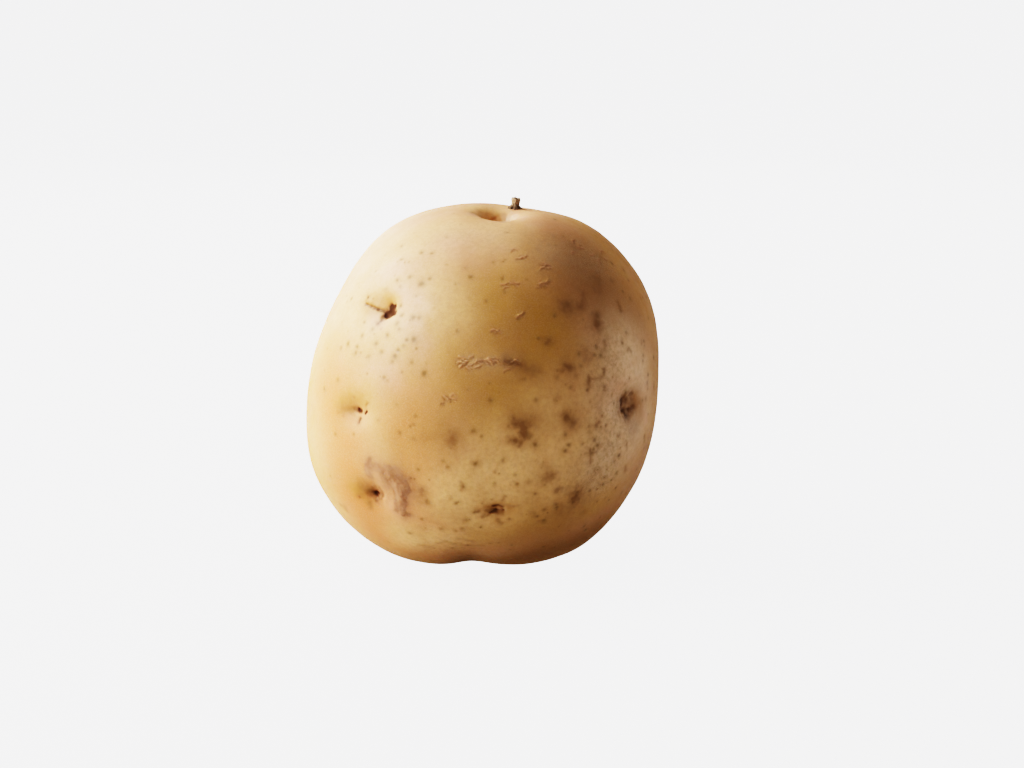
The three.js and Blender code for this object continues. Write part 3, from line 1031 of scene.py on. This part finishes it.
def pore_strokes(ground, settings, draw):
    """Pores: those listed one by one, then those scattered by the fields' weights."""
    laid = []
    for px, py, width, strength in SPECKS:
        laid.append(SPECK._replace(width=width, strength=strength, path=[ground.seen_at(px, py)]))
    fields = []
    for azimuth, elevation, reach, weight in PORE_FIELDS:
        fields.append((toward(azimuth, elevation), reach, weight))
    ceiling = WEIGHT_MARGIN + max(weight for _, _, weight in fields)
    while len(laid) < len(SPECKS) + settings.pores:
        out = drawn_direction(draw)
        weight = PLAIN_WEIGHT
        for middle, reach, more in fields:
            weight += more * math.exp(-((math.degrees(out.angle(middle)) / reach) ** 2))
        if draw.uniform(0, ceiling) > weight:
            continue
        width = PORE_WIDTH + PORE_WIDTH_SPREAD * draw.random() ** 2
        strength = draw.uniform(*PORE_STRENGTHS)
        laid.append(PORE._replace(width=width, strength=strength, path=[ground.from_heart(out)]))
    return laid


def laid_ball(settings, ground):
    """A fine ball laid on the solid and smoothed, without its marks."""
    skin = bmesh.new()
    bmesh.ops.create_icosphere(skin, subdivisions=settings.fineness, radius=1.0)
    stub_low, stub_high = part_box(STUB)
    stub_way = (Vector(stub_low) + Vector(stub_high)) / 2 - HEART
    socket = math.radians(SOCKET_DEGREES)
    rim = ground.from_heart(turned_aside(stub_way.normalized(), socket))
    for vert in skin.verts:
        direction = vert.co.normalized()
        point = ground.from_heart(direction)
        # The socket is closed over, because the stub grows out of the skin.
        if direction.angle(stub_way) < socket:
            point = HEART + direction * (rim - HEART).length
        vert.co = point
    for _ in range(settings.smoothing):
        smooth(skin, skin.verts)
    return skin


def turned_aside(direction, angle):
    """A direction turned by an angle, away from the viewer."""
    return Matrix.Rotation(-angle, 3, Vector((1.0, 0.0, 0.0))) @ direction


def smooth(mesh, verts):
    bmesh.ops.smooth_vert(mesh, verts=verts, factor=0.5, use_axis_x=True, use_axis_y=True, use_axis_z=True)


def spots_of(strokes):
    """The points along each stroke's path, with the stroke's width, a step of one width apart."""
    spots = []
    for stroke in strokes:
        spots.append((stroke.path[0], stroke.width))
        for start, end in zip(stroke.path, stroke.path[1:]):
            count = max(1, math.ceil((end - start).length / (stroke.width * MM)))
            for i in range(1, count + 1):
                spots.append((start.lerp(end, i / count), stroke.width))
    return spots


def refine(skin, spots, split):
    """Splits the edges near the spots that are longer than the finest."""
    skin.edges.ensure_lookup_table()
    ends = np.array([(*edge.verts[0].co, *edge.verts[1].co) for edge in skin.edges])
    middles = (ends[:, :3] + ends[:, 3:]) / 2
    long = np.linalg.norm(ends[:, :3] - ends[:, 3:], axis=1) > split.finest * MM
    chosen = np.zeros(len(middles), dtype=bool)
    for point, width in spots:
        radius = (width * split.reach + split.margin) * MM
        chosen |= ((middles - np.array(point)) ** 2).sum(axis=1) < radius**2
    edges = [skin.edges[i] for i in np.nonzero(chosen & long)[0]]
    bmesh.ops.subdivide_edges(skin, edges=edges, cuts=1, smooth=1.0)
    bmesh.ops.triangulate(skin, faces=[face for face in skin.faces if len(face.verts) > 3])
    bmesh.ops.recalc_face_normals(skin, faces=skin.faces)


class Canvas:
    """The skin's vertices in mm, with the relief and the tones that strokes lay on them."""

    def __init__(self, skin):
        skin.normal_update()
        self.points = np.array([vert.co for vert in skin.verts]) / MM
        self.normals = np.array([vert.normal for vert in skin.verts])
        self.relief = np.zeros(len(self.points))
        self.tones = {tone: np.zeros(len(self.points)) for tone in TONES}
        self.stray = np.array([noise.noise(Vector(point) * STRAY_WAVES) for point in self.points])

    def lay(self, stroke):
        """Lays one stroke: its relief adds up, and the strongest tone stays."""
        path = np.array([point[:] for point in stroke.path]) / MM
        middle = path.mean(axis=0)
        radius = np.linalg.norm(path - middle, axis=1).max() + STROKE_REACH * stroke.width
        near = np.nonzero(((self.points - middle) ** 2).sum(axis=1) < radius**2)[0]
        points = self.points[near]
        distance = np.linalg.norm(points - path[0], axis=1)
        for start, end in zip(path, path[1:]):
            along = end - start
            share = np.clip((points - start) @ along / (along @ along), 0, 1)
            distance = np.minimum(distance, np.linalg.norm(points - start - share[:, None] * along, axis=1))
        distance = distance + stroke.ragged * stroke.width * self.stray[near]
        steps = np.clip(distance / stroke.width, 0, None)
        core = np.exp(-steps**2)
        self.relief[near] += stroke.relief * core
        halo = 0.0 if stroke.tone in CRISP_TONES else HALO
        share = (1 - halo) * core + halo * np.exp(-((steps / HALO_REACH) ** 2))
        tone = self.tones[stroke.tone]
        tone[near] = np.maximum(tone[near], stroke.strength * share)

    def swell(self, height):
        """Adds the skin's broad unevenness, and finer unevenness over it."""
        for i, point in enumerate(self.points):
            place = Vector(point)
            broad = noise.noise(place / BROAD_SWELL)
            fine = noise.noise(place / FINE_SWELL + FINE_SWELL_OFFSET)
            self.relief[i] += height / MM * (broad + FINE_SWELL_SHARE * fine)

    def finished(self):
        """The vertices' places in metres, moved by the relief, with none under the floor."""
        places = (self.points + self.normals * self.relief[:, None]) * MM
        places[:, 2] = np.maximum(places[:, 2], 0.0)
        return places


def mesh_of(name, built):
    """Turns a finished bmesh into a mesh, and frees it."""
    mesh = bpy.data.meshes.new(name)
    built.to_mesh(mesh)
    built.free()
    return mesh


def new_object(mesh, material):
    """Puts a mesh in the scene under its own name, smooth and at the origin."""
    made = bpy.data.objects.new(mesh.name, mesh)
    bpy.context.collection.objects.link(made)
    mesh.materials.append(material)
    mesh.polygons.foreach_set("use_smooth", [True] * len(mesh.polygons))
    return made


def opaque(colour):
    return (*colour, 1.0)


class Finish:
    """A material, with short calls that add its nodes and link them."""

    def __init__(self, name):
        self.material = bpy.data.materials.new(name)
        self.material.use_nodes = True
        self.tree = self.material.node_tree
        self.tree.nodes.clear()
        self.shader = self.tree.nodes.new("ShaderNodeBsdfPrincipled")
        output = self.tree.nodes.new("ShaderNodeOutputMaterial")
        self.tree.links.new(self.shader.outputs["BSDF"], output.inputs["Surface"])

    def fill(self, node, inputs):
        """Links each input of a node to another's output, or sets it to a constant."""
        for name, value in inputs.items():
            if isinstance(value, bpy.types.NodeSocket):
                self.tree.links.new(value, node.inputs[name])
            else:
                node.inputs[name].default_value = value

    def add(self, kind, inputs, output=0, **settings):
        """Adds a node with its settings, fills its inputs, and returns one of its outputs."""
        made = self.tree.nodes.new(kind)
        for name, value in settings.items():
            setattr(made, name, value)
        self.fill(made, inputs)
        return made.outputs[output]

    def coords(self):
        """The piece's own coordinates."""
        return self.add("ShaderNodeTexCoord", {}, output="Object")

    def tone(self, name):
        """A tone that the mesh carries as an attribute."""
        return self.add("ShaderNodeAttribute", {}, output="Fac", attribute_name=name)

    def grain(self, coords, per_metre, detail, roughness=0.55):
        """Noise from 0 to 1, with so many waves to the metre."""
        inputs = {"Vector": coords, "Scale": per_metre, "Detail": detail, "Roughness": roughness}
        return self.add("ShaderNodeTexNoise", inputs, output="Fac")

    def shifted(self, coords, offset):
        """The coordinates moved, so that a second pattern differs from the first."""
        return self.add("ShaderNodeMapping", {"Vector": coords, "Location": offset})

    def between(self, value, low, high, to_low=0.0, to_high=1.0, rise="SMOOTHSTEP"):
        """A value that rises from one limit to the other."""
        inputs = {
            "Value": value,
            "From Min": low,
            "From Max": high,
            "To Min": to_low,
            "To Max": to_high,
        }
        return self.add("ShaderNodeMapRange", inputs, interpolation_type=rise)

    def plus(self, first, second):
        """The sum of two values."""
        return self.add("ShaderNodeMath", {0: first, 1: second}, operation="ADD")

    def times(self, first, second):
        """The product of two values."""
        return self.add("ShaderNodeMath", {0: first, 1: second}, operation="MULTIPLY")

    def gathered(self, value, parts):
        """A value with a share of each part added to it."""
        for part, share in parts:
            value = self.plus(value, self.times(part, share))
        return value

    def blend(self, share, first, second):
        """A mix of two colours. The node's colour sockets are found by number, as their names repeat."""
        return self.add("ShaderNodeMix", {0: share, 6: first, 7: second}, output=2, data_type="RGBA")

    def bump(self, height, strength, depth):
        """The normal of a surface with this height."""
        inputs = {"Height": height, "Strength": strength, "Distance": depth}
        return self.add("ShaderNodeBump", inputs, output="Normal")


def skin_ground(finish, coords, grains, tones, settings):
    """The skin's ground colours in broad clouds, the tints laid on them, some of them painted shade, light
    and sheen, and the mottles.
    """
    honey = finish.between(grains["broad"], *HONEY_RISE)
    colour = finish.blend(honey, opaque(settings.straw), opaque(settings.honey))
    clouds = finish.grain(finish.shifted(coords, ROSE_OFFSET), *ROSE_GRAIN)
    colour = finish.blend(finish.between(clouds, *ROSE_RISE), colour, opaque(settings.rose))
    for tone, tint in BROAD_TINTS.items():
        colour = finish.blend(tones[tone], colour, opaque(tint))
    for grain, low, high, share, tint in MOTTLES:
        colour = finish.blend(finish.between(grains[grain], low, high, 0.0, share), colour, opaque(tint))
    return colour


def skin_specks(finish, coords, ragged, fleck, specks):
    """How far round specks cover the skin. They are larger and darker where it is flecked."""
    inputs = {"Vector": finish.shifted(coords, specks.offset), "Scale": specks.per_metre, "Randomness": 1.0}
    distance = finish.add("ShaderNodeTexVoronoi", inputs, output="Distance")
    size = finish.add("ShaderNodeTexVoronoi", inputs, output="Color")
    parts = ((ragged, SPECK_RAGGED), (size, SPECK_UNLIKE), (fleck, SPECK_FLECKED))
    distance = finish.gathered(distance, parts)
    share = finish.between(distance, SPECK_WHOLE, specks.reach, 1.0, 0.0)
    return finish.times(share, finish.between(fleck, 0.0, 1.0, specks.plain, specks.flecked))


def skin_net(finish, coords):
    """The threads of the fine net, from 0 between them to 1 on them."""
    waver = finish.add("ShaderNodeTexNoise", {"Vector": coords, "Scale": NET_WAVES}, output="Color")
    web = finish.add(
        "ShaderNodeTexVoronoi",
        {"Vector": finish.blend(NET_BEND, coords, waver), "Scale": NET_CELLS, "Randomness": 1.0},
        output="Distance",
        feature="DISTANCE_TO_EDGE",
    )
    return finish.between(web, *NET_THREAD, 1.0, 0.0)


def skin_marks(finish, grains, tones, colour):
    """The marks that strokes laid, some of them painted shade in and beside the eyes, each faded at its
    edge and broken up inside, then the dark pits.
    """
    broken = finish.plus(finish.times(grains["flaky"], MARK_BREAK), 1.0)
    for tone, (share, tint) in MARKS.items():
        tint = opaque(tint)
        if tone == "scab":
            tint = finish.blend(finish.between(grains["flaky"], *SCAB_RISE), tint, opaque(SCAB_PALE))
        cover = finish.between(finish.times(tones[tone], broken), MARK_FLOOR, 1.0, 0.0, share, "LINEAR")
        colour = finish.blend(cover, colour, tint)
    depth = finish.plus(tones["hole"], finish.times(grains["ragged"], PIT_FRAY))
    return finish.blend(finish.between(depth, *PIT_RISE), colour, opaque(PIT))


def skin_material(settings):
    """The skin: tan ground colours, a fine mottle, and the tones that the strokes laid."""
    finish = Finish("potato_skin")
    coords = finish.coords()
    tones = {tone: finish.tone(tone) for tone in TONES}
    grains = {name: finish.grain(coords, *values) for name, values in GRAINS.items()}
    for name in ("ragged", "flaky"):
        grains[name] = finish.plus(grains[name], -0.5)
    dust = skin_specks(finish, coords, grains["ragged"], tones["fleck"], DUST)
    spots = skin_specks(finish, coords, grains["ragged"], tones["fleck"], SPOTS)
    thread = finish.times(skin_net(finish, coords), tones["net"])
    cells = finish.times(finish.between(grains["fine"], *NET_BETWEEN), tones["net"])

    colour = skin_ground(finish, coords, grains, tones, settings)
    for cover, (share, tint) in zip((cells, thread), NET_COVERS):
        colour = finish.blend(finish.times(cover, share), colour, opaque(tint))
    colour = finish.blend(dust, colour, opaque(DUST.colour))
    colour = finish.blend(spots, colour, opaque(SPOTS.colour))
    colour = skin_marks(finish, grains, tones, colour)

    dull = finish.between(grains["middle"], *DULL_RISE)
    dull = finish.gathered(dull, [(tones[tone], share) for tone, share in DULLER.items()])
    crust = finish.times(tones["scab"], grains["ragged"])
    scurf = finish.times(tones["russet"], grains["ragged"])
    patterns = {**grains, "dust": dust, "thread": thread, "crust": crust, "scurf": scurf}
    height = finish.gathered(0.0, [(patterns[name], share) for name, share in FINE_RELIEF.items()])
    surface = {
        "Base Color": colour,
        "Roughness": dull,
        "Normal": finish.bump(height, 0.55, 0.10 * MM),
        "Specular IOR Level": 0.16,
        "Subsurface Weight": 0.18,
        "Subsurface Radius": (1.0, 0.42, 0.14),
        "Subsurface Scale": 1.6 * MM,
    }
    finish.fill(finish.shader, surface)
    return finish.material


def stub_material(settings):
    """Dried bark, paler towards the top and at its broken tip."""
    finish = Finish("dried_stem")
    coords = finish.coords()
    coarse = finish.grain(coords, 1400.0, 4.0, 0.65)
    streaks = finish.grain(coords, 5200.0, 3.0)
    share = finish.between(finish.plus(finish.tone("tip"), finish.plus(coarse, -0.5)), 0.30, 0.70)
    colour = finish.blend(share, opaque(settings.bark), opaque(settings.pith))
    colour = finish.blend(finish.between(streaks, 0.45, 0.70, 0.0, 0.55), colour, opaque(STUB_STREAKS))
    height = finish.gathered(coarse, ((streaks, 0.5),))
    surface = {
        "Base Color": colour,
        "Roughness": finish.between(coarse, 0.3, 0.7, 0.75, 0.95),
        "Normal": finish.bump(height, 0.8, 0.12 * MM),
        "Specular IOR Level": 0.25,
    }
    finish.fill(finish.shader, surface)
    return finish.material


def pale_material(name, paleness, lit):
    """A plain pale surface. Lit is the share that shows the light and shadow that fall on it."""
    finish = Finish(name)
    surface = {
        "Base Color": (lit, lit, lit, 1.0),
        "Specular IOR Level": 0.0,
        "Roughness": 1.0,
        "Emission Color": opaque(PALE_GLOW),
        "Emission Strength": paleness,
    }
    finish.fill(finish.shader, surface)
    return finish.material


class POTATO_OT_add_skin(bpy.types.Operator):
    """Lay the potato's skin on its solid, with eyes, scab, patches, flakes and pores"""

    bl_idname = "potato.add_skin"
    bl_label = "Add Potato Skin"

    def execute(self, context):
        settings = context.scene.potato_skin
        ground = Ground(Viewpoint(context.scene.potato_studio))
        draw = random.Random(SKIN_SEED)
        skin = laid_ball(settings, ground)
        ground.becomes(skin)
        marks = eye_strokes(ground)
        marks += seen_strokes(ground, HOLLOW + SCAB)
        marks += seen_strokes(ground, [Stroke("russet", *patch) for patch in PATCHES])
        marks += hidden_patches(ground, settings, draw)
        marks += flake_strokes(ground, draw)
        pores = pore_strokes(ground, settings, draw)

        spots = spots_of(marks + pores)
        refine(skin, spots, COARSE_SPLIT)
        narrow = [(point, width) for point, width in spots if width < NARROW]
        narrow += spots_of([stroke for stroke in marks if stroke.tone == "hole"])
        refine(skin, narrow, FINE_SPLIT)
        smooth(skin, skin.verts)
        smooth(skin, skin.verts)

        canvas = Canvas(skin)
        canvas.swell(settings.swell)
        for stroke in marks + pores + tint_strokes(ground):
            canvas.lay(stroke)
        mesh = mesh_of("skin", skin)
        mesh.vertices.foreach_set("co", canvas.finished().ravel())
        for tone, values in canvas.tones.items():
            mesh.attributes.new(tone, "FLOAT", "POINT").data.foreach_set("value", values)
        mesh.update()

        made = new_object(mesh, skin_material(settings))
        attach(made, BODY)
        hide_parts(TUBER)
        return {"FINISHED"}


def stub_line():
    """The middles of the solid stub's root and tip."""
    points = sorted((Vector(vert.co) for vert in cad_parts[STUB].data.vertices), key=lambda co: co.z)
    few = len(points) // 12
    root = sum(points[:few], Vector()) / few
    tip = sum(points[-few:], Vector()) / few
    return root, tip


def turned_stub(length):
    """The stub's outline spun round, in mm, upright on its root."""
    stub = bmesh.new()
    verts = [stub.verts.new((radius, 0.0, share * length)) for radius, share in STUB_OUTLINE]
    edges = [stub.edges.new(pair) for pair in zip(verts, verts[1:])]
    bmesh.ops.spin(
        stub,
        geom=verts + edges,
        axis=(0.0, 0.0, 1.0),
        cent=(0.0, 0.0, 0.0),
        steps=STUB_SIDES,
        angle=2 * math.pi,
        use_merge=True,
    )
    bmesh.ops.remove_doubles(stub, verts=stub.verts, dist=WELD_MM)
    bmesh.ops.subdivide_edges(stub, edges=stub.edges, cuts=1, use_grid_fill=True, smooth=0.6)
    bmesh.ops.triangulate(stub, faces=stub.faces)
    return stub


def wither(stub, length):
    """Gives the stub its ribs, its roughness and the jags of its broken tip."""
    for vert in stub.verts:
        turn = math.atan2(vert.co.y, vert.co.x)
        ribs = 0.0
        for depth, count, twist, start in RIBS:
            ribs += depth * math.sin(count * turn + twist * vert.co.z + start)
        rough = ROUGH_DEPTH * noise.noise(vert.co * ROUGH_WAVES)
        vert.co.x *= 1 + ribs + rough
        vert.co.y *= 1 + ribs + rough
        if vert.co.z > JAG_START * length:
            place = Vector((JAG_CIRCLE * math.cos(turn), JAG_CIRCLE * math.sin(turn), JAG_SLICE))
            vert.co.z += JAG_HEIGHT * noise.noise(place)


def add_splinters(stub, length, count, draw):
    """Stands splinters round the broken tip."""
    for _ in range(count):
        turn = draw.uniform(0, 2 * math.pi)
        tall = draw.uniform(*SPLINTER_LENGTHS)
        rise = SPLINTER_START * length + tall / 2
        foot = Vector((SPLINTER_RING * math.cos(turn), SPLINTER_RING * math.sin(turn), rise))
        lean = Matrix.Rotation(draw.uniform(*SPLINTER_LEANS), 4, "X")
        lean = lean @ Matrix.Rotation(draw.uniform(*SPLINTER_LEANS), 4, "Y")
        bmesh.ops.create_cone(
            stub,
            cap_ends=True,
            segments=6,
            radius1=SPLINTER_FOOT,
            radius2=SPLINTER_POINT,
            depth=tall,
            matrix=Matrix.Translation(foot) @ lean,
        )


class POTATO_OT_add_stem_stub(bpy.types.Operator):
    """Grow the dried stub of the stem, with a ragged, fibrous tip"""

    bl_idname = "potato.add_stem_stub"
    bl_label = "Add Stem Stub"

    def execute(self, context):
        settings = context.scene.potato_stub
        root, tip = stub_line()
        length = (tip - root).length / MM
        stub = turned_stub(length)
        wither(stub, length)
        add_splinters(stub, length, settings.fibres, random.Random(STUB_SEED))
        bmesh.ops.recalc_face_normals(stub, faces=stub.faces)
        heights = [vert.co.z / length for vert in stub.verts]
        turn = Vector((0.0, 0.0, 1.0)).rotation_difference(tip - root).to_matrix().to_4x4()
        place = Matrix.Translation(root) @ turn @ Matrix.Scale(MM, 4)
        bmesh.ops.transform(stub, matrix=place, verts=stub.verts)
        mesh = mesh_of("stem_stub", stub)
        mesh.attributes.new("tip", "FLOAT", "POINT").data.foreach_set("value", heights)

        made = new_object(mesh, stub_material(settings))
        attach(made, BODY)
        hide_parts(STUB)
        return {"FINISHED"}


def stage_piece(name, built, material):
    """A piece of the studio that only the camera sees."""
    made = new_object(mesh_of(name, built), material)
    made.visible_diffuse = False
    made.visible_glossy = False
    made.visible_shadow = False
    return made


class POTATO_OT_add_studio(bpy.types.Operator):
    """Set up the camera, the soft lights, the pale floor and the backdrop"""

    bl_idname = "potato.add_studio"
    bl_label = "Add Studio"

    def execute(self, context):
        scene = context.scene
        settings = scene.potato_studio
        viewpoint = Viewpoint(settings)
        lens = bpy.data.cameras.new("camera")
        lens.lens = settings.lens
        lens.sensor_width = settings.sensor
        lens.clip_start = 0.01
        camera = bpy.data.objects.new("camera", lens)
        camera.location = viewpoint.place
        camera.rotation_euler = (-viewpoint.back).to_track_quat("-Z", "Y").to_euler()
        scene.collection.objects.link(camera)
        scene.camera = camera

        middle = Vector((0.0, 0.0, settings.look_height))
        for box in SOFTBOXES:
            lamp = bpy.data.lights.new(box.name, "AREA")
            lamp.shape = "DISK"
            lamp.size = SOFTBOX_BREADTH
            lamp.energy = box.power
            lamp.color = LIGHT_COLOUR
            way = toward(box.azimuth, box.elevation)
            light = bpy.data.objects.new(box.name, lamp)
            light.location = middle + way * SOFTBOX_DISTANCE
            light.rotation_euler = way.to_track_quat("Z", "Y").to_euler()
            light.visible_camera = False
            light.visible_diffuse = box.lights
            light.visible_glossy = box.shines
            scene.collection.objects.link(light)

        plate = bmesh.new()
        bmesh.ops.create_circle(plate, cap_ends=True, segments=96, radius=FLOOR_RADIUS)
        bmesh.ops.translate(plate, verts=plate.verts, vec=(0.0, 0.0, -FLOOR_DROP))
        pale = pale_material("pale_floor", settings.paleness * FLOOR_GLOW, FLOOR_LIT)
        floor = stage_piece("floor", plate, pale)

        shell = bmesh.new()
        bmesh.ops.create_icosphere(shell, subdivisions=4, radius=BACKDROP_RADIUS)
        backdrop = stage_piece("backdrop", shell, pale_material("pale_backdrop", settings.paleness, 0.0))

        world = bpy.data.worlds.new("world")
        world.use_nodes = True
        background = world.node_tree.nodes["Background"]
        background.inputs["Color"].default_value = opaque(WORLD_COLOUR)
        background.inputs["Strength"].default_value = WORLD_STRENGTH
        scene.world = world
        scene.view_settings.view_transform = "Filmic"
        scene.view_settings.look = "Very High Contrast"
        return {"FINISHED"}


class POTATO_PT_sidebar(bpy.types.Panel):
    """The potato's parts and their settings"""

    bl_idname = "POTATO_PT_sidebar"
    bl_label = "Potato"
    bl_space_type = "VIEW_3D"
    bl_region_type = "UI"
    bl_category = "Potato"

    def draw(self, context):
        for operator, group in PARTS:
            box = self.layout.box()
            box.operator(operator.bl_idname)
            settings = getattr(context.scene, group)
            for name in settings.bl_rna.properties.keys():
                if name not in {"rna_type", "name"}:
                    box.prop(settings, name)


PARTS = (
    (POTATO_OT_add_skin, "potato_skin"),
    (POTATO_OT_add_stem_stub, "potato_stub"),
    (POTATO_OT_add_studio, "potato_studio"),
)

CLASSES = (
    PotatoSkinSettings,
    StemStubSettings,
    StudioSettings,
    POTATO_OT_add_skin,
    POTATO_OT_add_stem_stub,
    POTATO_OT_add_studio,
    POTATO_PT_sidebar,
)


def register():
    for made in CLASSES:
        bpy.utils.register_class(made)
    bpy.types.Scene.potato_skin = bpy.props.PointerProperty(type=PotatoSkinSettings)
    bpy.types.Scene.potato_stub = bpy.props.PointerProperty(type=StemStubSettings)
    bpy.types.Scene.potato_studio = bpy.props.PointerProperty(type=StudioSettings)


def unregister():
    del bpy.types.Scene.potato_studio
    del bpy.types.Scene.potato_stub
    del bpy.types.Scene.potato_skin
    for made in reversed(CLASSES):
        bpy.utils.unregister_class(made)


def main():
    register()
    bpy.ops.potato.add_studio()
    bpy.ops.potato.add_skin()
    bpy.ops.potato.add_stem_stub()


if __name__ == "__main__":
    main()
